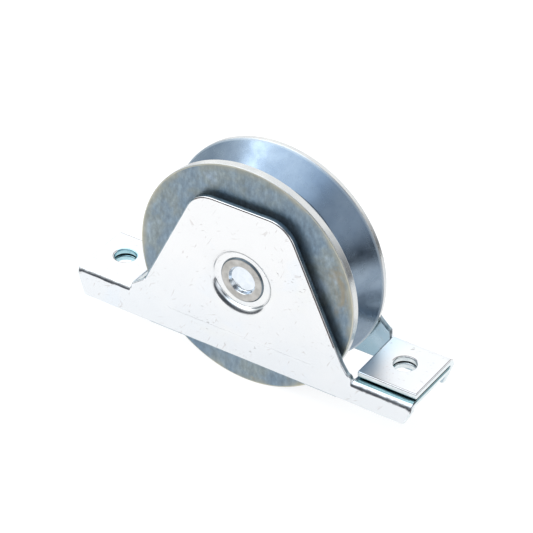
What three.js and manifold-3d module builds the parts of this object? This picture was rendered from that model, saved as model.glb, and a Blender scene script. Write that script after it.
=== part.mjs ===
// Gate wheel: a V-groove track wheel on a ball bearing, carried between two pressed sheet halves.
// Units mm. X runs along the bracket, Y along the axle (front half at -Y), Z up.
// The origin is the middle of the wheel on the axle line.
import * as THREE from "three";
import Module from "manifold-3d";

const wasm = await Module();
wasm.setup();

// ---- wheel ----
const WHEEL_R = 50;
const WHEEL_HALF_W = 12.5;
const RIM_LAND = 3.6;
const RIM_CHAMFER = 0.4;
const GROOVE_DEPTH = 8.6;
const GROOVE_FLAT = 0.6;
const SEAT_R = 20.05;
const SHOULDER_R = 17.6;
const SHOULDER_W = 2;
const CLIP_GROOVE_R = 21.4;
const CLIP_GROOVE_Y0 = -8.15;
const CLIP_GROOVE_Y1 = -6.15;

// ---- bracket halves ----
const HALF_WIDTH = 16.85;
const SHEET = 2.5;
const FLANGE_TOP = -22.9;
const LAYER_GAP = 0.8;
const BEND_R = 3.5;
const FREE_EDGE_Y = 13.3;
const SKIRT_BOTTOM = -36.65;
const END_X = 79.8;
const END_X_LOW = 76.6;
const END_BREAK = 0.4;
const FLANGE_IN_LEFT = 53.6;
const FLANGE_IN_RIGHT = 52.6;
const EAR_TOP = 34.6;
const EAR_TOP_X = 21.3;
const EAR_FOOT_X = 49.2;
const EAR_CORNER_R = 13;
const NOTCH_RISE = 2.4;
const SLIT = 0.6;
const HOLE_R = 4.7;
const HOLE_LEFT = [-67.5, 0];
const HOLE_RIGHT = [66, 1.5];

// ---- pressed panel and dimple ----
const PANEL_DEPTH = 0.3;
const PANEL_TOP = 26.3;
const PANEL_BOTTOM = -25.6;
const PANEL_TOP_X = 17;
const PANEL_LOW_X = 40;
const PANEL_CORNER_R = 6;
const DIMPLE_DEPTH = 2.5;
const DIMPLE_FLOOR_R = 13;
const DIMPLE_RIM_R = 16.2;
const PIN_HOLE_R = 7.5;

// ---- axle, spacers and bearing ----
const AXLE_R = 8.45;
const AXLE_NECK_R = 7.4;
const HEAD_BASE_R = 10.1;
const HEAD_R = 9.2;
const HEAD_OUT = 15.1;
const HOLLOW_R = 6.3;
const HOLLOW_RIM = 14.9;
const HOLLOW_FLOOR = 13.2;
const SHOULDER_Y = 11.8;
const SPACER_R = 12;
const RACE_BORE_R = 8.5;
const RACE_OUT_R = 20;
const BEARING_HALF_W = 6;
const PITCH_R = 14.25;
const BALL_R = 3.375;
const BALL_COUNT = 8;
const BALL_FACETS = [10, 8];
const TRACK_R = 3.5;
const INNER_SHOULDER_R = 12.1;
const OUTER_SHOULDER_R = 16.4;
const CAGE_IN_R = 13;
const CAGE_OUT_R = 15.5;
const CAGE_HALF_W = 4.4;
const SHIELD_Y = 5.3;
const SHIELD_T = 0.5;

const ZINC = { color: 0xe2e6ea, roughness: 0.34, metalness: 0.85 };
const WHEEL_STEEL = { color: 0x8c99a6, roughness: 0.38, metalness: 0.9 };
const PIN_STEEL = { color: 0xbdb7ab, roughness: 0.5, metalness: 0.75 };
const BEARING_STEEL = { color: 0xc9ccd0, roughness: 0.2, metalness: 1 };
const CAGE_STEEL = { color: 0xa9a79f, roughness: 0.4, metalness: 0.9 };

const root = new THREE.Group();
root.name = "gate_wheel";

function addMesh(name, geometry, look) {
  const mesh = new THREE.Mesh(geometry, new THREE.MeshStandardMaterial(look));
  mesh.name = name;
  root.add(mesh);
}

// ---- solids ----

// Turns a closed three.js geometry into a manifold solid, joining equal corners.
function toSolid(geometry) {
  const position = geometry.getAttribute("position");
  const index = geometry.index ? geometry.index.array : [...Array(position.count).keys()];
  const lookup = new Map();
  const corners = [];
  const remap = [];
  for (let i = 0; i < position.count; i++) {
    const p = [position.getX(i), position.getY(i), position.getZ(i)];
    const key = p.map((v) => Math.round(v * 1e4)).join(",");
    if (!lookup.has(key)) {
      lookup.set(key, corners.length / 3);
      corners.push(...p);
    }
    remap.push(lookup.get(key));
  }
  const faces = [];
  for (let i = 0; i < index.length; i += 3) {
    const [a, b, c] = [remap[index[i]], remap[index[i + 1]], remap[index[i + 2]]];
    if (a !== b && b !== c && a !== c) {
      faces.push(a, b, c);
    }
  }
  return new wasm.Manifold(new wasm.Mesh({
    numProp: 3,
    vertProperties: Float32Array.from(corners),
    triVerts: Uint32Array.from(faces),
  }));
}

function toGeometry(solid) {
  const mesh = solid.getMesh();
  const geometry = new THREE.BufferGeometry();
  geometry.setAttribute("position", new THREE.BufferAttribute(mesh.vertProperties, 3));
  geometry.setIndex([...mesh.triVerts]);
  geometry.computeVertexNormals();
  return geometry;
}

// Revolves a closed (radius, y) outline, given in any order of travel, about the axle line.
function ringOf(outline, segments) {
  let area = 0;
  outline.forEach(([r, y], i) => {
    const [r2, y2] = outline[(i + 1) % outline.length];
    area += r * y2 - r2 * y;
  });
  const loop = area > 0 ? outline : [...outline].reverse();
  const points = [...loop, loop[0]].map(([r, y]) => new THREE.Vector2(r, y));
  return new THREE.LatheGeometry(points, segments);
}

// Revolves an outline that runs from the axle line back to the axle line.
function turned(outline, segments) {
  return new THREE.LatheGeometry(outline.map(([r, y]) => new THREE.Vector2(r, y)), segments);
}

function cylinderY(radius, y0, y1, segments) {
  return toSolid(turned([[0, y0], [radius, y0], [radius, y1], [0, y1]], segments));
}

function frustumY(r0, y0, r1, y1, segments) {
  return toSolid(turned([[0, y0], [r0, y0], [r1, y1], [0, y1]], segments));
}

// Extrudes a shape drawn in X and Z from y0 to y1.
function prismY(shape, y0, y1) {
  const options = { depth: y1 - y0, bevelEnabled: false, curveSegments: 4 };
  const geometry = new THREE.ExtrudeGeometry(shape, options);
  geometry.rotateX(Math.PI / 2);
  geometry.translate(0, y1, 0);
  return toSolid(geometry);
}

// Extrudes a shape drawn in Y and Z from x0 to x1.
function prismX(shape, x0, x1) {
  const geometry = new THREE.ExtrudeGeometry(shape, { depth: x1 - x0, bevelEnabled: false, curveSegments: 5 });
  const axes = new THREE.Matrix4().makeBasis(
    new THREE.Vector3(0, 1, 0),
    new THREE.Vector3(0, 0, 1),
    new THREE.Vector3(1, 0, 0),
  );
  geometry.applyMatrix4(axes);
  geometry.translate(x0, 0, 0);
  return toSolid(geometry);
}

// ---- outlines ----

// Outline with every corner rounded by its own radius; corners are [x, z, radius].
function roundedShape(corners) {
  const shape = new THREE.Shape();
  corners.forEach(([x, z, radius], i) => {
    const corner = new THREE.Vector2(x, z);
    const before = corners[(i + corners.length - 1) % corners.length];
    const after = corners[(i + 1) % corners.length];
    const toBefore = new THREE.Vector2(before[0] - x, before[1] - z).normalize();
    const toAfter = new THREE.Vector2(after[0] - x, after[1] - z).normalize();
    const half = Math.acos(THREE.MathUtils.clamp(toBefore.dot(toAfter), -1, 1)) / 2;
    const reach = radius / Math.tan(half);
    const start = corner.clone().addScaledVector(toBefore, reach);
    const end = corner.clone().addScaledVector(toAfter, reach);
    if (i === 0) {
      shape.moveTo(start.x, start.y);
    } else {
      shape.lineTo(start.x, start.y);
    }
    if (radius > 0) {
      shape.quadraticCurveTo(x, z, end.x, end.y);
    }
  });
  shape.closePath();
  return shape;
}

// Half width of the ear at a height: it narrows evenly from the flange top to its own top.
function earHalfWidth(z) {
  const share = (EAR_TOP - z) / (EAR_TOP - FLANGE_TOP);
  return EAR_TOP_X + (EAR_FOOT_X - EAR_TOP_X) * share;
}

// Wall of one half: skirt, ear, and a relief notch between the ear and each flange.
function wallShape(leftTop, rightTop) {
  return roundedShape([
    [-END_X_LOW, SKIRT_BOTTOM, 1.5],
    [END_X_LOW, SKIRT_BOTTOM, 1.5],
    [END_X, rightTop - BEND_R - END_BREAK, 0],
    [END_X, rightTop - BEND_R, 0],
    [FLANGE_IN_RIGHT, rightTop - BEND_R, 0],
    [FLANGE_IN_RIGHT, rightTop - BEND_R - SLIT, 0],
    [FLANGE_IN_RIGHT - SLIT, rightTop - BEND_R - SLIT, 0],
    [FLANGE_IN_RIGHT - SLIT, rightTop + NOTCH_RISE, 0],
    [earHalfWidth(rightTop + NOTCH_RISE), rightTop + NOTCH_RISE, 0.8],
    [EAR_TOP_X, EAR_TOP, EAR_CORNER_R],
    [-EAR_TOP_X, EAR_TOP, EAR_CORNER_R],
    [-earHalfWidth(leftTop + NOTCH_RISE), leftTop + NOTCH_RISE, 0.8],
    [-FLANGE_IN_LEFT + SLIT, leftTop + NOTCH_RISE, 0],
    [-FLANGE_IN_LEFT + SLIT, leftTop - BEND_R - SLIT, 0],
    [-FLANGE_IN_LEFT, leftTop - BEND_R - SLIT, 0],
    [-FLANGE_IN_LEFT, leftTop - BEND_R, 0],
    [-END_X, leftTop - BEND_R, 0],
    [-END_X, leftTop - BEND_R - END_BREAK, 0],
  ]);
}

function panelShape() {
  return roundedShape([
    [-PANEL_LOW_X, PANEL_BOTTOM, 5],
    [PANEL_LOW_X, PANEL_BOTTOM, 5],
    [PANEL_TOP_X, PANEL_TOP, PANEL_CORNER_R],
    [-PANEL_TOP_X, PANEL_TOP, PANEL_CORNER_R],
  ]);
}

// Cross-section of a flange with its bend, reaching a little down into the wall.
function flangeSection(top) {
  const shape = new THREE.Shape();
  const bendY = -HALF_WIDTH + BEND_R;
  const bendZ = top - BEND_R;
  shape.moveTo(-HALF_WIDTH, bendZ - 1);
  shape.lineTo(-HALF_WIDTH + SHEET, bendZ - 1);
  shape.lineTo(-HALF_WIDTH + SHEET, bendZ);
  shape.absarc(bendY, bendZ, BEND_R - SHEET, Math.PI, Math.PI / 2, true);
  shape.lineTo(FREE_EDGE_Y, top - SHEET);
  shape.lineTo(FREE_EDGE_Y, top);
  shape.lineTo(bendY, top);
  shape.absarc(bendY, bendZ, BEND_R, Math.PI / 2, Math.PI, false);
  return shape;
}

// ---- bracket half, built as the front one ----
function bracketHalf(leftTop, rightTop) {
  const outer = -HALF_WIDTH;
  const inner = outer + SHEET;
  let half = prismY(wallShape(leftTop, rightTop), outer, inner);
  half = half.add(prismX(flangeSection(leftTop), -END_X, -FLANGE_IN_LEFT));
  half = half.add(prismX(flangeSection(rightTop), FLANGE_IN_RIGHT, END_X));
  half = half.add(prismY(panelShape(), inner - 0.2, inner + PANEL_DEPTH));
  half = half.subtract(prismY(panelShape(), outer - 1, outer + PANEL_DEPTH));
  half = half.add(frustumY(
    DIMPLE_RIM_R + 1.4, inner - 0.2,
    DIMPLE_FLOOR_R + 1.2, inner + DIMPLE_DEPTH, 32,
  ));
  half = half.subtract(frustumY(
    DIMPLE_RIM_R + 1.28, outer - 1,
    DIMPLE_FLOOR_R, outer + DIMPLE_DEPTH, 32,
  ));
  return half.subtract(cylinderY(PIN_HOLE_R, outer - 2, inner + 5, 32));
}

function withBoltHoles(half) {
  let drilled = half;
  for (const [x, y] of [HOLE_LEFT, HOLE_RIGHT]) {
    const drill = new THREE.CylinderGeometry(HOLE_R, HOLE_R, 30, 28);
    drill.rotateX(Math.PI / 2);
    drill.translate(x, y, FLANGE_TOP);
    drilled = drilled.subtract(toSolid(drill));
  }
  return drilled;
}

// Each half lies on top at one end and underneath at the other.
const lowerTop = FLANGE_TOP - SHEET - LAYER_GAP;
const frontHalf = bracketHalf(FLANGE_TOP, lowerTop);
const rearHalf = bracketHalf(lowerTop, FLANGE_TOP).mirror([0, 1, 0]);
addMesh("bracket_half_front", toGeometry(withBoltHoles(frontHalf)), ZINC);
addMesh("bracket_half_rear", toGeometry(withBoltHoles(rearHalf)), ZINC);

// ---- wheel ----
function wheelOutline() {
  const inner = WHEEL_HALF_W - RIM_LAND;
  const floorR = WHEEL_R - GROOVE_DEPTH;
  return [
    [SEAT_R, -WHEEL_HALF_W],
    [WHEEL_R - RIM_CHAMFER, -WHEEL_HALF_W],
    [WHEEL_R, -WHEEL_HALF_W + RIM_CHAMFER],
    [WHEEL_R, -inner - RIM_CHAMFER],
    [WHEEL_R - RIM_CHAMFER, -inner],
    [floorR, -GROOVE_FLAT],
    [floorR, GROOVE_FLAT],
    [WHEEL_R - RIM_CHAMFER, inner],
    [WHEEL_R, inner + RIM_CHAMFER],
    [WHEEL_R, WHEEL_HALF_W - RIM_CHAMFER],
    [WHEEL_R - RIM_CHAMFER, WHEEL_HALF_W],
    [SEAT_R, WHEEL_HALF_W],
    [SEAT_R, BEARING_HALF_W + 0.1 + SHOULDER_W],
    [SHOULDER_R, BEARING_HALF_W + 0.1 + SHOULDER_W],
    [SHOULDER_R, BEARING_HALF_W + 0.1],
    [SEAT_R, BEARING_HALF_W + 0.1],
    [SEAT_R, CLIP_GROOVE_Y1],
    [CLIP_GROOVE_R, CLIP_GROOVE_Y1],
    [CLIP_GROOVE_R, CLIP_GROOVE_Y0],
    [SEAT_R, CLIP_GROOVE_Y0],
  ];
}
addMesh("wheel", ringOf(wheelOutline(), 60), WHEEL_STEEL);

// ---- internal circlip that keeps the bearing in the wheel ----
function circlip() {
  const outerR = CLIP_GROOVE_R - 0.2;
  const innerR = SEAT_R - 1.9;
  const open = 0.32;
  const shape = new THREE.Shape();
  shape.absarc(0, 0, outerR, -Math.PI / 2 + open, 1.5 * Math.PI - open, false);
  shape.absarc(0, 0, innerR, 1.5 * Math.PI - open, -Math.PI / 2 + open, true);
  shape.closePath();
  const depth = CLIP_GROOVE_Y1 - CLIP_GROOVE_Y0 - 0.3;
  const geometry = new THREE.ExtrudeGeometry(shape, { depth, bevelEnabled: false, curveSegments: 20 });
  geometry.rotateX(Math.PI / 2);
  geometry.translate(0, CLIP_GROOVE_Y1 - 0.15, 0);
  return geometry;
}
addMesh("bearing_circlip", circlip(), CAGE_STEEL);

// ---- axle pin, both ends drilled and riveted over the dimple floors ----
function axleOutline() {
  const floor = HALF_WIDTH - DIMPLE_DEPTH;
  const front = [
    [0, -HOLLOW_FLOOR],
    [HOLLOW_R - 0.9, -HOLLOW_FLOOR],
    [HOLLOW_R, -HOLLOW_RIM],
    [HEAD_R - 0.7, -HEAD_OUT],
    [HEAD_R, -HEAD_OUT + 0.2],
    [HEAD_BASE_R, -floor - 0.25],
    [HEAD_BASE_R, -floor - 0.05],
    [AXLE_NECK_R, -floor - 0.05],
    [AXLE_NECK_R, -SHOULDER_Y],
    [AXLE_R, -SHOULDER_Y],
  ];
  return [...front, ...front.map(([r, y]) => [r, -y]).reverse()];
}
addMesh("axle_pin", turned(axleOutline(), 36), PIN_STEEL);

// ---- spacers between the dimples and the inner race ----
for (const [name, side] of [["spacer_front", -1], ["spacer_rear", 1]]) {
  const y0 = side * (BEARING_HALF_W + 0.05);
  const y1 = side * (SHOULDER_Y - 0.05);
  addMesh(name, ringOf([[AXLE_R + 0.1, y0], [SPACER_R, y0], [SPACER_R, y1], [AXLE_R + 0.1, y1]], 32), PIN_STEEL);
}

// ---- bearing races ----
function raceway(direction, segments) {
  const shoulder = direction > 0 ? OUTER_SHOULDER_R : INNER_SHOULDER_R;
  const half = Math.acos(Math.abs(shoulder - PITCH_R) / TRACK_R);
  return Array.from({ length: segments + 1 }, (_, i) => {
    const angle = -half + (2 * half * i) / segments;
    return [PITCH_R + direction * TRACK_R * Math.cos(angle), TRACK_R * Math.sin(angle)];
  });
}

function race(direction, backR) {
  const shoulder = direction > 0 ? OUTER_SHOULDER_R : INNER_SHOULDER_R;
  const w = BEARING_HALF_W;
  return ringOf([[backR, w], [backR, -w], [shoulder, -w], ...raceway(direction, 6), [shoulder, w]], 36);
}
addMesh("bearing_outer_race", race(1, RACE_OUT_R), BEARING_STEEL);
addMesh("bearing_inner_race", race(-1, RACE_BORE_R), BEARING_STEEL);

// ---- balls ----
const ballCentres = Array.from({ length: BALL_COUNT }, (_, i) => {
  const angle = (i / BALL_COUNT) * 2 * Math.PI;
  return new THREE.Vector3(PITCH_R * Math.cos(angle), 0, PITCH_R * Math.sin(angle));
});
ballCentres.forEach((centre, i) => {
  const ball = new THREE.SphereGeometry(BALL_R, ...BALL_FACETS);
  ball.translate(centre.x, centre.y, centre.z);
  addMesh(`bearing_ball_${i + 1}`, ball, BEARING_STEEL);
});

// ---- two-piece cage with a pocket round each ball ----
function cageHalf(side) {
  const y0 = 0.15 * side;
  const y1 = CAGE_HALF_W * side;
  const outline = [[CAGE_IN_R, y0], [CAGE_OUT_R, y0], [CAGE_OUT_R, y1], [CAGE_IN_R, y1]];
  let cage = toSolid(ringOf(outline, 32));
  for (const centre of ballCentres) {
    const pocket = new THREE.SphereGeometry(BALL_R + 0.22, ...BALL_FACETS);
    pocket.translate(centre.x, centre.y, centre.z);
    cage = cage.subtract(toSolid(pocket));
  }
  return toGeometry(cage);
}
addMesh("bearing_cage_front", cageHalf(-1), CAGE_STEEL);
addMesh("bearing_cage_rear", cageHalf(1), CAGE_STEEL);

// ---- shields that close the bearing on both sides ----
for (const [name, side] of [["bearing_shield_front", -1], ["bearing_shield_rear", 1]]) {
  const y0 = side * (SHIELD_Y - SHIELD_T / 2);
  const y1 = side * (SHIELD_Y + SHIELD_T / 2);
  const inR = INNER_SHOULDER_R + 0.3;
  const outR = OUTER_SHOULDER_R - 0.1;
  addMesh(name, ringOf([[inR, y0], [outR, y0], [outR, y1], [inR, y1]], 32), CAGE_STEEL);
}

export default root;
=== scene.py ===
"""Gate wheel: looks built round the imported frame. Shapes are worked out in millimetres."""

import math

import bmesh
import bpy
from mathutils import Matrix, Vector
from mathutils.geometry import delaunay_2d_cdt


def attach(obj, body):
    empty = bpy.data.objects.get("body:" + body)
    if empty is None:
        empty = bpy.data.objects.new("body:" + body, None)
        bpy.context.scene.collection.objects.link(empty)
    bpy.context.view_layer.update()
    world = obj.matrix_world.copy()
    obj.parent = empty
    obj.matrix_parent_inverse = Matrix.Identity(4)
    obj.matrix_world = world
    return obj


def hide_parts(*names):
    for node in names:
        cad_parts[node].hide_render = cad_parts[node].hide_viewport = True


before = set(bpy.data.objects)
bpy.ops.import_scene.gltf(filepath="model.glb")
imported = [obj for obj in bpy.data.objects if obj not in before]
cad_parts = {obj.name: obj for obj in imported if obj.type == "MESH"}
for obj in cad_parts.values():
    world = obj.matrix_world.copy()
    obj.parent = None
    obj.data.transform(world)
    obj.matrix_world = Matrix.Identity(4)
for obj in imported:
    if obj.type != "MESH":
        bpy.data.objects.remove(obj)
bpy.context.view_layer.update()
MM = 0.001

# ---- bracket halves, mm ----
HALF_WIDTH = 16.85  # axle centre to the outer face of the wall
SHEET = 2.5
FLANGE_TOP = -22.9
LOWER_TOP = -26.2
BEND_R = 3.5  # outer radius
BEND_ARC = BEND_R * math.pi / 2
FREE_EDGE_Y = 13.3
SKIRT_BOTTOM = -36.65
SKIRT_CORNER_R = 1.3
END_X = 79.8
END_X_LOW = 76.6
END_STEP = 0.4
END_CORNER_R = 1.5
FLANGE_IN_LEFT = 53.6
FLANGE_IN_RIGHT = 52.6
TAB_ROOT = 1.5
TAB_ROOT_R = 0.35
TAB_TAPER = 0.5
TAB_CORNER_R = 0.6
TWIST = 1.5  # width over which the bent tab runs into the flat wall
NOTCH_RISE = 2.5
NOTCH_WIDTH = 2.3
NOTCH_R = 2.0
EAR_TOP = 34.6
EAR_TOP_X = 21.3
EAR_CORNER_R = 13.0
EAR_FOOT_X = 49.2
EAR_FOOT_RISE = 6.2
EAR_FOOT_R = 3.0
HOLES = ((-67.5, 0.0), (66.0, 1.5))
HOLE_R = 4.7
PIN_HOLE_R = 7.5
HOLE_STEPS = 64
EDGE_ROUND = 0.6
ROUND_STEPS = 4

# ---- what is pressed into a wall, mm ----
PRESSED_X = 46
PRESSED_TOP = 32
PRESSED_LOW = -31
PANEL_DEPTH = 0.3
PANEL_CORNERS = ((-40.0, -25.6, 5.0), (40.0, -25.6, 5.0), (17.0, 26.3, 6.0), (-17.0, 26.3, 6.0))
PANEL_BLEND = 2.0
PANEL_LINE_DEPTH = 0.018
PANEL_LINE_REACH = 0.45
DIMPLE_DEPTH = 2.5
DIMPLE_FLOOR_R = 12.95
DIMPLE_REACH = 3.87
DIMPLE_OVAL = 0.94
DIMPLE_LIP = ((5.0, 0, 36), (2.2, 36, 63))  # radius, start and end angle of each arc
DIMPLE_FOOT_ROUND = 0.4

# ---- wheel and axle, mm ----
WHEEL_R = 50
WHEEL_HALF_W = 12.5
FRONT_LAND = 3.4
REAR_LAND = 2.1
GROOVE_BOTTOM = (40.5, 0.3)  # radius and y
RIM_ROUND = 0.45
LAND_ROUND = 0.5
SEAT_R = 20.05
SHOULDER_R = 17.6
SHOULDER_Y = (6.1, 8.1)
CLIP_GROOVE_R = 21.4
CLIP_GROOVE_Y = (-6.15, -8.15)
AXLE_R = 8.45
AXLE_NECK_R = 7.4
AXLE_SHOULDER_Y = 11.8

# Slots of a bracket half's materials
SKIN_SLOT, INNER_SLOT, SHEARED_SLOT, EDGE_SHADE_SLOT = range(4)

# Positions in metres times this fall in a colour ramp's 0 to 1
DM = 10.0


# ---------------------------------------------------------------- mesh helpers
def new_object(name, verts, faces, material, smooth_angle=35.0):
    mesh = bpy.data.meshes.new(name)
    mesh.from_pydata([Vector(v) * MM for v in verts], [], faces)
    bm = bmesh.new()
    bm.from_mesh(mesh)
    bmesh.ops.recalc_face_normals(bm, faces=bm.faces)
    bm.to_mesh(mesh)
    bm.free()
    mesh.polygons.foreach_set("use_smooth", [True] * len(mesh.polygons))
    mesh.set_sharp_from_angle(angle=math.radians(smooth_angle))
    obj = bpy.data.objects.new(name, mesh)
    bpy.context.scene.collection.objects.link(obj)
    mesh.materials.append(material)
    return obj


def weighted_normals(obj):
    mod = obj.modifiers.new("weighted_normals", "WEIGHTED_NORMAL")
    mod.keep_sharp = True
    mod.weight = 70


def arc(cx, cy, radius, a0, a1, steps):
    """Points on a circle from angle a0 to a1, in degrees."""
    out = []
    for i in range(steps + 1):
        a = math.radians(a0 + (a1 - a0) * i / steps)
        out.append((cx + radius * math.cos(a), cy + radius * math.sin(a)))
    return out


def rounded_loop(corners, step=9.0):
    """Closed loop through (x, y, radius) corners with true arcs, one point every few degrees."""
    loop = []
    count = len(corners)
    for i, (x, y, radius) in enumerate(corners):
        here = Vector((x, y))
        before = (Vector(corners[i - 1][:2]) - here).normalized()
        after = (Vector(corners[(i + 1) % count][:2]) - here).normalized()
        half = math.acos(max(-1.0, min(1.0, before.dot(after)))) / 2
        if radius <= 0:
            loop.append(here)
            continue
        reach = radius / math.tan(half)
        centre = here + (before + after).normalized() * (radius / math.sin(half))
        start = here + before * reach - centre
        end = here + after * reach - centre
        turn = start.angle_signed(end)
        steps = max(2, math.ceil(abs(math.degrees(turn)) / step))
        for k in range(steps + 1):
            a = -turn * k / steps
            rot = Vector((
                start.x * math.cos(a) - start.y * math.sin(a),
                start.x * math.sin(a) + start.y * math.cos(a),
            ))
            loop.append(centre + rot)
    return loop


def resampled(loop, spacing):
    """Adds points on the long sides of a loop; spacing gives the longest side at a point."""
    out = []
    for i, p in enumerate(loop):
        q = loop[(i + 1) % len(loop)]
        out.append(p)
        cuts = math.ceil((q - p).length / spacing((p + q) / 2))
        out.extend(p.lerp(q, k / cuts) for k in range(1, cuts))
    return out


def inset(loop, distance):
    """The loop moved to its left by a distance, which is inwards on an anticlockwise loop."""
    out = []
    for i, p in enumerate(loop):
        a = (p - loop[i - 1]).normalized()
        b = (loop[(i + 1) % len(loop)] - p).normalized()
        n1 = Vector((-a.y, a.x))
        n2 = Vector((-b.y, b.x))
        mid = n1 + n2
        out.append(p + mid * (distance / max(0.3, 1 + n1.dot(n2))))
    return out


def inside(p, loop):
    hit = False
    for i, a in enumerate(loop):
        b = loop[i - 1]
        if (a.y > p.y) != (b.y > p.y):
            if p.x < (b.x - a.x) * (p.y - a.y) / (b.y - a.y) + a.x:
                hit = not hit
    return hit


def distance_to(p, loop):
    best = 1e9
    for i, b in enumerate(loop):
        a = loop[i - 1]
        d = b - a
        t = max(0.0, min(1.0, (p - a).dot(d) / max(d.length_squared, 1e-12)))
        best = min(best, (p - a - d * t).length)
    return best


def smooth(t):
    t = max(0.0, min(1.0, t))
    return t * t * (3 - 2 * t)


def lathe(name, profile, material, segments=192, smooth_angle=35.0):
    """Revolves a closed (radius, y) outline about the axle line; radius 0 makes a pole."""
    verts, rings = [], []
    for r, y in profile:
        if r < 1e-6:
            rings.append([len(verts)] * segments)
            verts.append((0.0, y, 0.0))
            continue
        ring = []
        for k in range(segments):
            a = 2 * math.pi * k / segments
            ring.append(len(verts))
            verts.append((r * math.sin(a), y, r * math.cos(a)))
        rings.append(ring)
    closed = profile[0][0] > 1e-6
    faces = []
    for i in range(len(rings) if closed else len(rings) - 1):
        lo, hi = rings[i], rings[(i + 1) % len(rings)]
        for k in range(segments):
            m = (k + 1) % segments
            face = []
            for v in (lo[k], lo[m], hi[m], hi[k]):
                if v not in face:
                    face.append(v)
            if len(face) > 2:
                faces.append(face)
    return new_object(name, verts, faces, material, smooth_angle)


def filleted(corners, step=15.0):
    """Profile through (r, y, fillet radius) corners."""
    return [(max(0.0, p.x), p.y) for p in rounded_loop(corners, step)]


# ---------------------------------------------------------------- bracket halves
PANEL = rounded_loop(PANEL_CORNERS, 15.0)


def lip_depth(across):
    """Depth below the wall at a distance in from where the dimple's lip starts."""
    depth, start = 0.0, 0.0
    for radius, a0, a1 in DIMPLE_LIP:
        a0, a1 = math.radians(a0), math.radians(a1)
        width = radius * (math.sin(a1) - math.sin(a0))
        inner = radius * math.sin(a0) + min(across - start, width)
        depth += radius * math.cos(a0) - math.sqrt(radius ** 2 - inner ** 2)
        start += width
        if across <= start:
            return depth
    return depth + (across - start) * math.tan(a1)


def press_depth(x, z):
    """How far the sheet is pressed towards the wheel at a point of the wall."""
    p = Vector((x, z))
    if abs(x) > PRESSED_X or z > PRESSED_TOP or z < PRESSED_LOW:
        return 0.0
    gap = distance_to(p, PANEL) * (1 if inside(p, PANEL) else -1)
    panel = PANEL_DEPTH * smooth(gap / PANEL_BLEND + 0.5)
    if abs(gap) < PANEL_LINE_REACH:
        panel += PANEL_LINE_DEPTH * (1 + math.cos(math.pi * gap / PANEL_LINE_REACH))
    across = DIMPLE_FLOOR_R + DIMPLE_REACH - Vector((x, z / DIMPLE_OVAL)).length
    if across <= 0:
        return panel
    lip = lip_depth(across)
    floor = DIMPLE_DEPTH - PANEL_DEPTH
    blend = 0.5 + (lip - floor) / (2 * DIMPLE_FOOT_ROUND)
    if blend >= 1:
        return panel + floor
    if blend > 0:
        lip -= DIMPLE_FOOT_ROUND * blend * blend
    return panel + lip


def bent(x, v, top):
    """Point and inward normal on the skirt, bend and flange of one tab."""
    s = v - (top - BEND_R)
    if s <= 0:
        return Vector((x, -HALF_WIDTH, v)), Vector((0, 1, 0))
    if s < BEND_ARC:
        a = s / BEND_R
        y = -HALF_WIDTH + BEND_R - BEND_R * math.cos(a)
        z = top - BEND_R + BEND_R * math.sin(a)
        return Vector((x, y, z)), Vector((0, math.cos(a), -math.sin(a)))
    return Vector((x, -HALF_WIDTH + BEND_R + s - BEND_ARC, top)), Vector((0, 0, -1))


def fold(x, v, tops):
    """Point and inward normal of the outer skin for a flat-pattern point (x, v)."""
    side, start = (0, FLANGE_IN_LEFT) if x < 0 else (1, FLANGE_IN_RIGHT)
    tab = smooth((abs(x) - start + TWIST) / (TWIST + 0.3))
    if tab == 0:
        d = press_depth(x, v)
        if d == 0.0:
            return Vector((x, -HALF_WIDTH, v)), Vector((0, 1, 0))
        e = 0.05
        gx = (press_depth(x + e, v) - press_depth(x - e, v)) / (2 * e)
        gz = (press_depth(x, v + e) - press_depth(x, v - e)) / (2 * e)
        return Vector((x, -HALF_WIDTH + d, v)), Vector((-gx, 1, -gz)).normalized()
    at, normal = bent(x, v, tops[side])
    flat = Vector((x, -HALF_WIDTH, v))
    return flat.lerp(at, tab), Vector((0, 1, 0)).lerp(normal, tab).normalized()


def ear_half_width(z):
    """Half the ear's width at a height, along its straight sides."""
    share = (EAR_TOP - z) / (EAR_TOP - FLANGE_TOP)
    return EAR_TOP_X + (EAR_FOOT_X - EAR_TOP_X) * share


def flat_outline(tops):
    """Flat pattern of a half, anticlockwise: skirt, two flange tabs and the ear."""
    left, right = tops[0] - BEND_R, tops[1] - BEND_R
    tab = BEND_ARC + FREE_EDGE_Y + HALF_WIDTH - BEND_R
    foot = [top + EAR_FOOT_RISE for top in tops]
    return [
        (-END_X_LOW, SKIRT_BOTTOM, SKIRT_CORNER_R), (END_X_LOW, SKIRT_BOTTOM, SKIRT_CORNER_R),
        (END_X, right - END_STEP, END_CORNER_R), (END_X, right + tab, TAB_CORNER_R),
        (FLANGE_IN_RIGHT + TAB_TAPER, right + tab, TAB_CORNER_R),
        (FLANGE_IN_RIGHT, tops[1] + TAB_ROOT, TAB_ROOT_R),
        (FLANGE_IN_RIGHT - NOTCH_WIDTH, tops[1] + NOTCH_RISE, NOTCH_R),
        (ear_half_width(foot[1]), foot[1], EAR_FOOT_R),
        (EAR_TOP_X, EAR_TOP, EAR_CORNER_R), (-EAR_TOP_X, EAR_TOP, EAR_CORNER_R),
        (-ear_half_width(foot[0]), foot[0], EAR_FOOT_R),
        (-FLANGE_IN_LEFT + NOTCH_WIDTH, tops[0] + NOTCH_RISE, NOTCH_R),
        (-FLANGE_IN_LEFT, tops[0] + TAB_ROOT, TAB_ROOT_R),
        (-FLANGE_IN_LEFT - TAB_TAPER, left + tab, TAB_CORNER_R),
        (-END_X, left + tab, TAB_CORNER_R), (-END_X, left - END_STEP, END_CORNER_R),
    ]


def hole_loop(x, v, radius):
    """Clockwise circle, so that its left side is the material."""
    return [Vector(p) for p in arc(x, v, radius, 360, 0, HOLE_STEPS)[:-1]]


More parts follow.
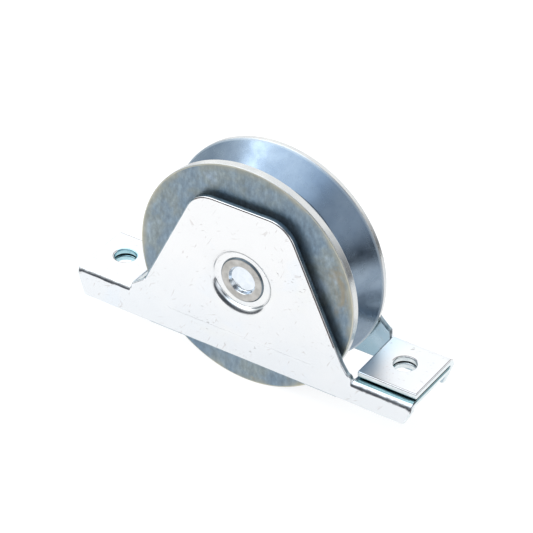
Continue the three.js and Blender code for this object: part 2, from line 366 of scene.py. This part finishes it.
def half_points(tops):
    """Inner points that carry the pressed shape, the bends and a coarse grid."""
    points = []
    radii = [DIMPLE_FLOOR_R + d for d in (-1.6, -0.9, -0.6, -0.45, -0.3, -0.15, 0, 0.15, 0.3, 0.45)]
    radii += [DIMPLE_FLOOR_R + DIMPLE_REACH * i / 12 for i in range(2, 14)]
    for r in radii:
        points += [Vector((x, z * DIMPLE_OVAL)) for x, z in arc(0, 0, r, 0, 360, 120)[:-1]]
    even = resampled(PANEL, lambda p: 2.0)
    for d in (-1.1, -0.75, -0.45, -0.3, -0.15, 0, 0.15, 0.3, 0.45, 0.75, 1.1):
        points += inset(even, d)
    for side, top in ((-1, tops[0]), (1, tops[1])):
        low = top - BEND_R
        x0 = FLANGE_IN_LEFT if side < 0 else FLANGE_IN_RIGHT
        for k in range(13):
            v = low + BEND_ARC * k / 12
            for j in range(1, 9):
                points.append(Vector((side * (x0 + (END_X - x0) * j / 9), v)))
        for i in range(10):
            for j in range(-3, 15):
                points.append(Vector((side * (x0 + 0.4 - 0.22 * i), low + 0.4 * j)))
    for i in range(-20, 21):
        for j in range(-9, 14):
            points.append(Vector((i * 4.0 + 0.3, j * 4.0 + 0.2)))
    return points


def half_loops(tops, mirrored):
    """Outline and holes of the flat pattern, with short sides where the sheet bends."""
    bends = [top - BEND_R for top in tops]

    def spacing(p):
        low = bends[0] if p.x < 0 else bends[1]
        in_bend = abs(p.x) > PRESSED_X and low - 0.6 < p.y < low + BEND_ARC + 0.6
        return 0.45 if in_bend else 2.5

    loops = [resampled(rounded_loop(flat_outline(tops)), spacing)]
    for low, (x, y) in zip(bends, HOLES):
        across = (-y if mirrored else y) + HALF_WIDTH - BEND_R
        loops.append(hole_loop(x, low + BEND_ARC + across, HOLE_R))
    loops.append(hole_loop(0, 0, PIN_HOLE_R))
    return loops


def triangulated(inner, guard, tops):
    """Points and triangles of the flat sheet, and the new index of each point of the loops."""
    flat, edges = [], []
    for loop in inner:
        n = len(loop)
        edges += [(len(flat) + k, len(flat) + (k + 1) % n) for k in range(n)]
        flat += loop
    flat += [p for loop in guard for p in loop]
    for p in half_points(tops):
        if not inside(p, guard[0]) or any(inside(p, g) for g in guard[1:]):
            continue
        if min(distance_to(p, g) for g in guard) > 0.3:
            flat.append(p)
    cdt = delaunay_2d_cdt(flat, edges, [], 0, 1e-6)
    points, tris, origin = cdt[0], cdt[2], cdt[3]
    new_of = {old: new for new, olds in enumerate(origin) for old in olds}
    keep = []
    for t in tris:
        c = (points[t[0]] + points[t[1]] + points[t[2]]) / 3
        if inside(c, inner[0]) and not any(inside(c, h) for h in inner[1:]):
            keep.append(t)
    return points, keep, new_of


def rim_slot(here, after, ring):
    """Material slot of an edge face; rings count from the outer skin. Edges that face one way, and
    edges near the ear's foot, keep plating on their rounding; away from the foot the first rings of
    those edges get painted shade, a dark line for the dark surroundings they mirror.
    """
    along = after - here
    caught = along.y * 0.5 - along.x * 0.8 > 0.3 * along.length
    on_tab = abs(here.x) > 58
    at_foot = 45.5 < abs(here.x) and not on_tab
    if not (caught or at_foot) or ring >= ROUND_STEPS:
        return SHEARED_SLOT
    dark_rings = 0 if at_foot else 1 if on_tab else 2
    return EDGE_SHADE_SLOT if ring < dark_rings else SKIN_SLOT


def bracket_half(name, tops, mirrored, materials):
    """One pressed half as a closed sheet of even thickness with rounded edges."""
    loops = half_loops(tops, mirrored)
    inner = [inset(loop, EDGE_ROUND) for loop in loops]
    guard = [inset(loop, EDGE_ROUND + 0.25) for loop in loops]
    points, keep, new_of = triangulated(inner, guard, tops)

    verts = []
    for depth in (0.0, SHEET):
        for p in points:
            at, n = fold(p.x, p.y, tops)
            verts.append(at + n * depth)
    count = len(points)
    faces = [list(t) for t in keep]
    faces += [[v + count for v in reversed(t)] for t in keep]
    slots = [SKIN_SLOT] * len(keep) + [INNER_SLOT] * len(keep)

    start = 0
    for loop, soft in zip(loops, inner):
        n = len(loop)
        rings = [[new_of[start + k] for k in range(n)]]
        start += n
        for s in range(2 * ROUND_STEPS):
            near = s < ROUND_STEPS
            a = math.pi / 2 * (s + 1 if near else 2 * ROUND_STEPS - s) / ROUND_STEPS
            depth = EDGE_ROUND * (1 - math.cos(a))
            ring = []
            for k in range(n):
                p = soft[k].lerp(loop[k], math.sin(a))
                at, normal = fold(p.x, p.y, tops)
                ring.append(len(verts))
                verts.append(at + normal * (depth if near else SHEET - depth))
            rings.append(ring)
        rings.append([v + count for v in rings[0]])
        for g, (lo, hi) in enumerate(zip(rings, rings[1:])):
            for k in range(n):
                m = (k + 1) % n
                slots.append(rim_slot(loop[k], loop[m], g))
                faces.append([lo[m], lo[k], hi[k], hi[m]])
    if mirrored:
        verts = [Vector((v.x, -v.y, v.z)) for v in verts]
    used = sorted({v for f in faces for v in f})
    index = {v: i for i, v in enumerate(used)}
    faces = [[index[v] for v in f] for f in faces]
    half = new_object(name, [verts[v] for v in used], faces, materials[SKIN_SLOT], 40)
    for material in materials[INNER_SLOT:]:
        half.data.materials.append(material)
    for polygon, slot in zip(half.data.polygons, slots):
        polygon.material_index = slot
    weighted_normals(half)
    return half


# ---------------------------------------------------------------- materials
class Nodes:
    """A small builder for node materials."""

    def __init__(self, name):
        self.material = bpy.data.materials.new(name)
        self.material.use_nodes = True
        self.tree = self.material.node_tree
        self.shader = self.tree.nodes["Principled BSDF"]
        self.place = self.add("ShaderNodeTexCoord").outputs["Object"]

    def add(self, kind, **settings):
        node = self.tree.nodes.new(kind)
        for key, value in settings.items():
            setattr(node, key, value)
        return node

    def link(self, source, target):
        self.tree.links.new(source, target)

    def noise(self, scale, detail=4.0, roughness=0.55, stretch=(1, 1, 1), warp=0.0, turn=0.0):
        mapping = self.add("ShaderNodeMapping", vector_type="TEXTURE")
        mapping.inputs["Rotation"].default_value = (0, turn, 0)
        mapping.inputs["Scale"].default_value = [1 / v for v in stretch]
        self.link(self.place, mapping.inputs["Vector"])
        node = self.add("ShaderNodeTexNoise")
        node.inputs["Scale"].default_value = scale
        node.inputs["Detail"].default_value = detail
        node.inputs["Roughness"].default_value = roughness
        node.inputs["Distortion"].default_value = warp
        self.link(mapping.outputs["Vector"], node.inputs["Vector"])
        return node.outputs["Fac"]

    def ramp(self, value, stops):
        node = self.add("ShaderNodeValToRGB")
        while len(node.color_ramp.elements) < len(stops):
            node.color_ramp.elements.new(0.5)
        for element, (place, colour) in zip(node.color_ramp.elements, stops):
            element.position = place
            grey = isinstance(colour, (int, float))
            element.color = (colour, colour, colour, 1) if grey else (*colour, 1)
        self.link(value, node.inputs["Fac"])
        return node.outputs["Color"]

    def mix(self, factor, a, b, blend="MIX"):
        node = self.add("ShaderNodeMix", data_type="RGBA", blend_type=blend)
        for socket, value in ((node.inputs[0], factor), (node.inputs[6], a), (node.inputs[7], b)):
            if hasattr(value, "links"):
                self.link(value, socket)
            elif isinstance(value, (int, float)):
                socket.default_value = value
            else:
                socket.default_value = (*value, 1)
        return node.outputs[2]

    def radius(self):
        """Distance from the axle line, in metres."""
        split = self.add("ShaderNodeSeparateXYZ")
        self.link(self.place, split.inputs[0])
        join = self.add("ShaderNodeCombineXYZ")
        self.link(split.outputs["X"], join.inputs["X"])
        self.link(split.outputs["Z"], join.inputs["Z"])
        length = self.add("ShaderNodeVectorMath", operation="LENGTH")
        self.link(join.outputs[0], length.inputs[0])
        return length.outputs["Value"]

    def math(self, operation, a, b=0.0, c=0.0):
        node = self.add("ShaderNodeMath", operation=operation)
        for socket, value in zip(node.inputs, (a, b, c)):
            if hasattr(value, "links"):
                self.link(value, socket)
            else:
                socket.default_value = value
        return node.outputs[0]

    def bump(self, *layers):
        """Bump layers as (height, strength, distance in metres)."""
        normal = None
        for height, strength, distance in layers:
            node = self.add("ShaderNodeBump")
            node.inputs["Strength"].default_value = strength
            node.inputs["Distance"].default_value = distance
            self.link(height, node.inputs["Height"])
            if normal is not None:
                self.link(normal, node.inputs["Normal"])
            normal = node.outputs["Normal"]
        self.link(normal, self.shader.inputs["Normal"])

    def finish(self, colour, roughness, metallic=1.0):
        self.link(colour, self.shader.inputs["Base Color"])
        self.link(roughness, self.shader.inputs["Roughness"])
        if hasattr(metallic, "links"):
            self.link(metallic, self.shader.inputs["Metallic"])
        else:
            self.shader.inputs["Metallic"].default_value = metallic
        return self.material


def zinc_sheet(name, top_tone, low_tone, rough_low=0.15, rough_high=0.25):
    """Bright zinc plating with fine scratches and small dark nicks, plus painted light: shade
    darker and bluer lower down, teal shade on the lower flange tops under the upper flanges, a blue
    reflection of the wheel on the right flange top.
    """
    m = Nodes(name)
    split = m.add("ShaderNodeSeparateXYZ")
    m.link(m.place, split.inputs[0])
    # Painted shade: the plating turns darker and bluer lower down.
    height = m.math("MULTIPLY_ADD", split.outputs["Z"], -16.0)
    painted_low_shade = m.ramp(m.math("ADD", height, m.math("MULTIPLY", m.noise(45, 4, 0.6), 0.9)),
                  [(0.30, 0.0), (0.95, 1.0)])
    base = m.mix(painted_low_shade, top_tone, low_tone)
    cool = m.ramp(m.noise(33, 4, warp=0.6), [(0.55, 0.0), (0.72, 0.5)])
    base = m.mix(cool, base, (0.70, 0.77, 0.85))
    warm = m.ramp(m.noise(24, 3, warp=0.4), [(0.55, 0.0), (0.72, 0.4)])
    base = m.mix(warm, base, (0.82, 0.81, 0.73))
    x, y, z = (m.math("MULTIPLY", m.math("ABSOLUTE", split.outputs[k]), DM) for k in "XYZ")
    outboard = m.ramp(x, [(0.525, 0.0), (0.54, 1.0)])
    tab_top = m.math("COMPARE", m.math("MULTIPLY", split.outputs["Z"], DM),
                     DM * FLANGE_TOP * MM, 0.0025)
    tab_top = m.math("MULTIPLY", tab_top, outboard)
    # Painted reflection: a blue tint on the upper flange top on the right, near its inner end, for
    # the dark wheel it mirrors.
    wheel_reflection_reach = m.ramp(m.math("MULTIPLY", split.outputs["X"], DM),
                      [(0.5, 0.0), (0.52, 1.0), (0.61, 0.0)])
    base = m.mix(m.math("MULTIPLY", tab_top, wheel_reflection_reach), base, (0.60, 0.76, 0.88))
    # Painted shade: dark teal on the lower flange tops where they run under the upper flanges.
    painted_gap_shade = m.math("MULTIPLY", m.ramp(y, [(0.150, 1.0), (0.157, 0.0)]),
                     m.ramp(z, [(0.2575, 0.0), (0.2595, 1.0), (0.2655, 1.0), (0.269, 0.0)]))
    base = m.mix(m.math("MULTIPLY", painted_gap_shade, outboard), base, (0.24, 0.40, 0.43))
    nicks = m.math("MULTIPLY",
                   m.ramp(m.noise(430, 2, 0.6, (1, 1, 1.7)), [(0.66, 0.0), (0.70, 1.0)]),
                   m.ramp(m.noise(50, 2), [(0.52, 0.0), (0.62, 0.6)]))
    colour = m.mix(nicks, base, (0.36, 0.35, 0.35))
    for tilt, cut in ((0.5, 0.71), (-0.75, 0.725), (1.2, 0.715)):
        hair = m.ramp(m.noise(900, 1, 0.4, (1, 1, 0.2), 0.5, tilt),
                      [(cut, 0.0), (cut + 0.04, 0.30)])
        colour = m.mix(hair, colour, (0.45, 0.40, 0.38))
    scratches = m.noise(900, 2, 0.6, (1, 1, 0.06), 0.3)
    rough = m.ramp(m.noise(90, 5), [(0.3, rough_low), (0.7, rough_high)])
    rough = m.mix(tab_top, rough, (0.36, 0.36, 0.36))
    m.bump((m.noise(130, 3), 0.10, 0.0003), (scratches, 0.05, 0.0001), (nicks, -0.2, 0.0001))
    return m.finish(colour, rough)


def sheared_edge():
    """Cut edge of the sheet: plated on the tabs; dark teal on the ear, partly bare steel and partly
    painted shade; painted teal shade in the left holes.
    """
    m = Nodes("zinc_sheared_edge")
    split = m.add("ShaderNodeSeparateXYZ")
    m.link(m.place, split.inputs[0])
    tabs = m.ramp(m.math("MULTIPLY", m.math("ABSOLUTE", split.outputs["X"]), DM),
                  [(0.505, 0.0), (0.53, 1.0)])
    # Dark teal for the ear's cut edge: partly bare steel, partly painted shade for the shadowed
    # wheel face it mirrors.
    dark = m.ramp(m.noise(240, 5, 0.65), [(0.3, (0.20, 0.28, 0.33)), (0.7, (0.42, 0.50, 0.55))])
    light = m.ramp(m.noise(200, 4, 0.6), [(0.3, (0.66, 0.73, 0.745)), (0.7, (0.80, 0.83, 0.835))])
    rough = m.ramp(m.noise(350, 3), [(0.3, 0.24), (0.7, 0.40)])
    m.bump((m.noise(600, 3), 0.3, 0.0002))
    # Painted shade: teal on the cut walls of the left holes only.
    hole_x = m.ramp(m.math("MULTIPLY", split.outputs["X"], -DM),
                    [(0.61, 0.0), (0.62, 1.0), (0.73, 1.0), (0.74, 0.0)])
    hole_y = m.ramp(m.math("MULTIPLY", m.math("ABSOLUTE", split.outputs["Y"]), DM),
                    [(0.055, 1.0), (0.06, 0.0)])
    light = m.mix(m.math("MULTIPLY", hole_x, hole_y), light, (0.46, 0.69, 0.75))
    return m.finish(m.mix(tabs, dark, light), rough)


def wheel_steel():
    """Turned steel under thin zinc: blue and green-grey mottle, straw tarnish at the rims and a
    painted highlight along the rounded rim edges.
    """
    m = Nodes("wheel_steel")
    split = m.add("ShaderNodeSeparateXYZ")
    m.link(m.place, split.inputs[0])
    across = m.math("MULTIPLY", m.math("ABSOLUTE", split.outputs["Y"]), DM)
    face = m.ramp(across, [(0.119, 0.0), (0.123, 1.0)])
    radius = m.math("MULTIPLY", m.radius(), DM)
    groove = m.ramp(m.noise(60, 5, 0.6, warp=0.3), [
        (0.35, (0.19, 0.25, 0.325)), (0.65, (0.255, 0.32, 0.39))])
    patches = m.ramp(m.noise(46, 7, 0.62, warp=0.35), [
        (0.36, (0.18, 0.25, 0.32)), (0.48, (0.225, 0.29, 0.345)), (0.56, (0.25, 0.295, 0.305)),
        (0.68, (0.33, 0.41, 0.49))])
    speckle = m.ramp(m.noise(620, 5, 0.75, (1, 1, 0.5)), [(0.30, 0.74), (0.5, 1.0), (0.70, 1.36)])
    patches = m.mix(1.0, patches, speckle, "MULTIPLY")
    rim = m.ramp(radius, [(0.468, 0.0), (0.495, 0.9)])
    tarnish = m.math("MULTIPLY", rim, m.ramp(m.noise(48, 5, warp=0.4), [(0.40, 0.0), (0.62, 1.0)]))
    worn = m.mix(tarnish, patches, (0.42, 0.40, 0.31))
    stains = m.ramp(m.noise(37, 7, 0.62, warp=0.9), [(0.575, 0.0), (0.67, 0.75)])
    worn = m.mix(m.math("MULTIPLY", stains, m.ramp(radius, [(0.39, 0.15), (0.47, 1.0)])),
                 worn, (0.33, 0.27, 0.17))
    colour = m.mix(face, groove, worn)
    land_tone = m.ramp(m.noise(80, 4, warp=0.3),
                       [(0.35, (0.60, 0.62, 0.625)), (0.65, (0.71, 0.71, 0.69))])
    colour = m.mix(m.ramp(radius, [(0.4975, 0.0), (0.4992, 1.0)]), colour, land_tone)
    # Painted highlight: a thin light line on the rounded rims, yellowish on the face side and
    # blue-grey on the groove side; the same band is made rougher.
    edge = m.ramp(radius, [(0.4950, 0.0), (0.4962, 1.0), (0.4990, 1.0), (0.4998, 0.0)])
    colour = m.mix(edge, colour, m.mix(face, (0.46, 0.53, 0.59), (0.70, 0.67, 0.55)))
    rough = m.ramp(m.noise(260, 4), [(0.3, 0.20), (0.7, 0.30)])
    rough = m.mix(face, rough, m.ramp(m.noise(180, 4), [(0.3, 0.30), (0.7, 0.42)]))
    rough = m.mix(edge, rough, (0.55, 0.55, 0.55))
    rings = m.add("ShaderNodeTexWave", wave_type="RINGS", rings_direction="Y")
    rings.inputs["Scale"].default_value = 900
    rings.inputs["Distortion"].default_value = 0.6
    m.link(m.place, rings.inputs["Vector"])
    m.bump((m.noise(300, 4), 0.08, 0.0002), (rings.outputs["Fac"], 0.05, 0.00005))
    return m.finish(colour, rough, m.ramp(across, [(0.119, 1.0), (0.123, 0.8)]))


def pin_steel():
    """Riveted axle: satin ring, bright plated hollow, painted shade on the ring's sloping side;
    radius in cm.
    """
    m = Nodes("pin_steel")
    radius = m.math("MULTIPLY", m.radius(), 100.0)
    ring = m.ramp(m.noise(420, 5, 0.6), [(0.3, (0.38, 0.37, 0.35)), (0.7, (0.57, 0.555, 0.53))])
    hollow = m.ramp(m.noise(300, 3), [(0.3, (0.69, 0.74, 0.79)), (0.7, (0.79, 0.83, 0.87))])
    colour = m.mix(m.ramp(radius, [(0.605, 0.0), (0.64, 1.0)]), hollow, ring)
    # Painted shade: dark blue-grey all round the ring's sloping side.
    colour = m.mix(m.ramp(radius, [(0.935, 0.0), (0.95, 1.0)]), colour, (0.16, 0.20, 0.23))
    gloss = m.ramp(radius, [(0.61, 0.0), (0.65, 1.0)])
    rough = m.mix(gloss, (0.12, 0.12, 0.12), m.ramp(m.noise(500, 3), [(0.3, 0.30), (0.7, 0.45)]))
    m.bump((m.noise(700, 3), 0.12, 0.0002))
    return m.finish(colour, rough)


def plain_steel(name, low, high, rough_low, rough_high, scale=120):
    """Bare steel with small changes of tone and gloss."""
    m = Nodes(name)
    colour = m.ramp(m.noise(scale, 4), [(0.3, low), (0.7, high)])
    rough = m.ramp(m.noise(scale * 2, 3), [(0.3, rough_low), (0.7, rough_high)])
    m.bump((m.noise(scale * 4, 3), 0.08, 0.0002))
    return m.finish(colour, rough)


ZINC = zinc_sheet("zinc_sheet", (0.815, 0.815, 0.815), (0.755, 0.775, 0.795))
# Painted shade: a darker, bluer copy of the zinc for the inner faces of the halves.
ZINC_INNER_SHADED = zinc_sheet("zinc_inner_painted_shade", (0.44, 0.58, 0.62), (0.31, 0.45, 0.54), 0.22, 0.36)
SHEARED = sheared_edge()
# Painted shade: dark brown for the dark line along the rounding of some sheet edges.
EDGE_SHADE = plain_steel("zinc_edge_painted_shade", (0.08, 0.065, 0.065), (0.26, 0.22, 0.21), 0.35, 0.5, 300)
WHEEL = wheel_steel()
PIN = pin_steel()
BEARING = plain_steel("bearing_steel", (0.60, 0.61, 0.62), (0.70, 0.71, 0.72), 0.12, 0.2, 200)
CAGE = plain_steel("cage_steel", (0.48, 0.46, 0.42), (0.60, 0.58, 0.54), 0.3, 0.42, 150)
SPRING = plain_steel("spring_steel", (0.06, 0.06, 0.065), (0.12, 0.12, 0.125), 0.35, 0.5, 150)


# ---------------------------------------------------------------- pieces
def place(obj, body, slot, *nodes):
    """Says what a piece rides on and the CAD nodes it stands for; the slot argument is not used."""
    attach(obj, body)
    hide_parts(*nodes)


def make_bracket():
    materials = (ZINC, ZINC_INNER_SHADED, SHEARED, EDGE_SHADE)
    front = bracket_half("bracket_front_sheet", (FLANGE_TOP, LOWER_TOP), False, materials)
    place(front, "bracket", "zinc_sheet", "bracket_half_front")
    rear = bracket_half("bracket_rear_sheet", (LOWER_TOP, FLANGE_TOP), True, materials)
    place(rear, "bracket", "zinc_sheet", "bracket_half_rear")


def make_wheel():
    """Turned wheel: front face, V groove, rear face and the stepped bore, as (r, y, fillet)."""
    profile = filleted([
        (SEAT_R, -WHEEL_HALF_W, 0.5), (WHEEL_R, -WHEEL_HALF_W, RIM_ROUND),
        (WHEEL_R, FRONT_LAND - WHEEL_HALF_W, LAND_ROUND), (*GROOVE_BOTTOM, 0.8),
        (WHEEL_R, WHEEL_HALF_W - REAR_LAND, LAND_ROUND), (WHEEL_R, WHEEL_HALF_W, RIM_ROUND),
        (SEAT_R, WHEEL_HALF_W, 0.5), (SEAT_R, SHOULDER_Y[1], 0.2),
        (SHOULDER_R, SHOULDER_Y[1], 0.3), (SHOULDER_R, SHOULDER_Y[0], 0.2),
        (SEAT_R, SHOULDER_Y[0], 0.2), (SEAT_R, CLIP_GROOVE_Y[0], 0),
        (CLIP_GROOVE_R, CLIP_GROOVE_Y[0], 0), (CLIP_GROOVE_R, CLIP_GROOVE_Y[1], 0),
        (SEAT_R, CLIP_GROOVE_Y[1], 0.2),
    ])
    wheel = lathe("wheel_turned", profile, WHEEL, 256, 30)
    weighted_normals(wheel)
    place(wheel, "wheel", "wheel_steel", "wheel")


def make_axle():
    """Axle with both riveted heads; the rear end mirrors the front one."""
    floor = HALF_WIDTH - DIMPLE_DEPTH
    corners = [
        # hollow
        (0, -13.2, 0), (5.5, -13.2, 0.7), (6.15, -14.75, 0.3), (6.35, -15.05, 0.2),
        # ring
        (9.3, -15.08, 0.3), (9.95, -floor - 0.18, 0.1), (9.95, -floor - 0.03, 0.05),
        # neck and shoulder
        (AXLE_NECK_R, -floor - 0.03, 0), (AXLE_NECK_R, -AXLE_SHOULDER_Y, 0),
        (AXLE_R, -AXLE_SHOULDER_Y, 0.2),
    ]
    corners += [(r, -y, f) for r, y, f in reversed(corners)]
    axle = lathe("axle_riveted", filleted(corners), PIN, 128, 30)
    place(axle, "bracket", "pin_steel", "axle_pin")


def keep_cad_nodes():
    """Pieces inside the hub keep their CAD shape and get their finish."""
    finish = {"bearing_ball": BEARING, "bearing_outer": BEARING, "bearing_inner": BEARING,
              "bearing_cage": CAGE, "bearing_shield": CAGE, "bearing_circlip": SPRING,
              "spacer": PIN}
    for name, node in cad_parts.items():
        for start, material in finish.items():
            if name.startswith(start):
                node.data.materials.clear()
                node.data.materials.append(material)


# ---------------------------------------------------------------- camera, floor, light
CAMERA_AZIMUTH = 32.53
CAMERA_ELEVATION = 34.87
CAMERA_ROLL = 1.13
CAMERA_DISTANCE = 0.9636
CAMERA_LENS = 164.1
CAMERA_ASIDE = (1.574 * MM, -1.527 * MM)
FLOOR_RADIUS = 350.0
FLOOR_LEVEL = -50.1
FLOOR_STEPS = 96


def make_camera():
    a, e, r = (math.radians(v) for v in (CAMERA_AZIMUTH, CAMERA_ELEVATION, CAMERA_ROLL))
    back = Vector((math.sin(a) * math.cos(e), -math.cos(a) * math.cos(e), math.sin(e)))
    level = Vector((math.cos(a), math.sin(a), 0))
    rise = back.cross(level)
    right = level * math.cos(r) + rise * math.sin(r)
    up = rise * math.cos(r) - level * math.sin(r)
    data = bpy.data.cameras.new("camera")
    data.lens = CAMERA_LENS
    data.sensor_width = 36
    camera = bpy.data.objects.new("camera", data)
    place_at = back * CAMERA_DISTANCE + right * CAMERA_ASIDE[0] + up * CAMERA_ASIDE[1]
    axes = Matrix((right, up, back)).transposed().to_4x4()
    camera.matrix_world = Matrix.Translation(place_at) @ axes
    bpy.context.scene.collection.objects.link(camera)
    bpy.context.scene.camera = camera


def floor_white():
    m = Nodes("floor_white")
    m.shader.inputs["Roughness"].default_value = 0.9
    m.shader.inputs["Specular IOR Level"].default_value = 0.1
    m.shader.inputs["Base Color"].default_value = (0.30, 0.30, 0.30, 1)
    m.shader.inputs["Emission Color"].default_value = (1, 1, 1, 1)
    m.shader.inputs["Emission Strength"].default_value = 0.86
    return m.material


def make_floor():
    """A round white table top that the wheel stands on."""
    ring = [(x, y, FLOOR_LEVEL) for x, y in arc(0, 0, FLOOR_RADIUS, 0, 360, FLOOR_STEPS)[:-1]]
    new_object("floor", ring, [list(range(FLOOR_STEPS))], floor_white())


def direction(azimuth, elevation):
    """Unit vector; azimuth 0 is behind the part, 90 is to its right."""
    a, e = math.radians(azimuth), math.radians(elevation)
    return Vector((math.sin(a) * math.cos(e), math.cos(a) * math.cos(e), math.sin(e)))


def soft_box(name, azimuth, elevation, distance, size, radiance):
    """Round area light that faces the axle's centre."""
    data = bpy.data.lights.new(name, "AREA")
    data.shape = "DISK"
    data.size = size
    data.energy = radiance * math.pi * math.pi * (size / 2) ** 2
    light = bpy.data.objects.new(name, data)
    towards = direction(azimuth, elevation)
    light.matrix_world = (Matrix.Translation(towards * distance)
                          @ towards.to_track_quat("Z", "Y").to_matrix().to_4x4())
    bpy.context.scene.collection.objects.link(light)


def make_lights():
    soft_box("key", -121, 40, 1.4, 0.45, 2.2)
    soft_box("overhead", -160, 68, 1.4, 0.6, 1.0)


# Soft lobes of the surroundings: azimuth and elevation in degrees, how many degrees out the
# lobe starts and stops fading, and its radiance.
GLOWS = (
    (-10, 25, 40, 64, (1.13, 1.13, 1.13)),
    (-118, 38, 13, 36, (1.03, 1.05, 1.06)),
    (-170, 60, 12, 34, (0.9, 0.98, 1.08)),
    (-90, 62, 15, 45, (0.9, 0.93, 0.97)),
    (-82, 4, 8, 34, (0.75, 0.8, 0.82)),
    (133, 24, 8, 27, (0.72, 0.76, 0.81)),
    (165, 50, 6, 24, (0.45, 0.52, 0.6)),
    (95, 20, 8, 25, (1.05, 1.08, 1.1)),
)
ROOM_TONE = (0.07, 0.08, 0.095)


def make_world():
    """Dark studio with soft white panels; the camera itself sees plain white."""
    world = bpy.data.worlds.new("studio")
    bpy.context.scene.world = world
    world.use_nodes = True
    tree = world.node_tree

    def node(kind, **settings):
        made = tree.nodes.new(kind)
        for key, value in settings.items():
            setattr(made, key, value)
        return made

    towards = node("ShaderNodeTexCoord").outputs["Generated"]
    total = None
    for azimuth, elevation, inner, outer, radiance in GLOWS:
        dot = node("ShaderNodeVectorMath", operation="DOT_PRODUCT")
        dot.inputs[1].default_value = direction(azimuth, elevation)
        tree.links.new(towards, dot.inputs[0])
        fade = node("ShaderNodeMapRange", interpolation_type="SMOOTHSTEP")
        fade.inputs["From Min"].default_value = math.cos(math.radians(outer))
        fade.inputs["From Max"].default_value = math.cos(math.radians(inner))
        tree.links.new(dot.outputs["Value"], fade.inputs["Value"])
        glow = node("ShaderNodeVectorMath", operation="SCALE")
        glow.inputs[0].default_value = radiance
        tree.links.new(fade.outputs["Result"], glow.inputs["Scale"])
        light = glow.outputs["Vector"]
        if total is not None:
            add = node("ShaderNodeVectorMath", operation="ADD")
            tree.links.new(total, add.inputs[0])
            tree.links.new(light, add.inputs[1])
            light = add.outputs["Vector"]
        total = light
    dark = node("ShaderNodeVectorMath", operation="ADD")
    dark.inputs[1].default_value = ROOM_TONE
    tree.links.new(total, dark.inputs[0])
    mix = node("ShaderNodeMix", data_type="RGBA")
    tree.links.new(node("ShaderNodeLightPath").outputs["Is Camera Ray"], mix.inputs[0])
    tree.links.new(dark.outputs["Vector"], mix.inputs[6])
    mix.inputs[7].default_value = (1, 1, 1, 1)
    tree.links.new(mix.outputs[2], tree.nodes["Background"].inputs["Color"])
    bpy.context.scene.view_settings.view_transform = "Standard"


make_camera()
make_floor()
make_world()
make_lights()
make_bracket()
make_wheel()
make_axle()
keep_cad_nodes()
